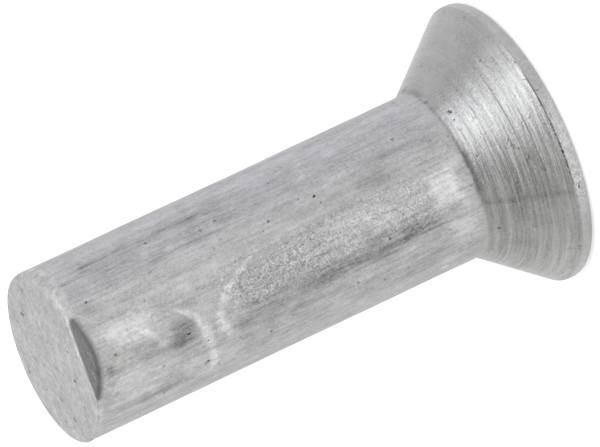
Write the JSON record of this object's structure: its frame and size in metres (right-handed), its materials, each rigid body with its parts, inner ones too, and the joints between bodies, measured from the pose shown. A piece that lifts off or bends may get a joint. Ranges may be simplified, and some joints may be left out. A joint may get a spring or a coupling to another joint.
{
  "type": "countersunk rivet",
  "caption": "Solid aluminium countersunk rivet with a flat head, a turned cone and a plain round shank whose tail is sheared off. It fastens sheets flush when the tail is hammered over.",
  "frame": {"origin": "centre of the flat head face, which it stands on", "axes": "+Z along the shank from the head to the sheared tail; the corner nicked off the tail faces -Y"},
  "size_m": [0.0066, 0.0066, 0.0121],
  "materials": {
    "bare_aluminium": "dull bare metal: drawn lines along the shank, turned rings on the cone, a sheared grey tail, small pits and dents"
  },
  "bodies": {
    "root": {"rivet": "bare_aluminium"}
  },
  "joints": []
}
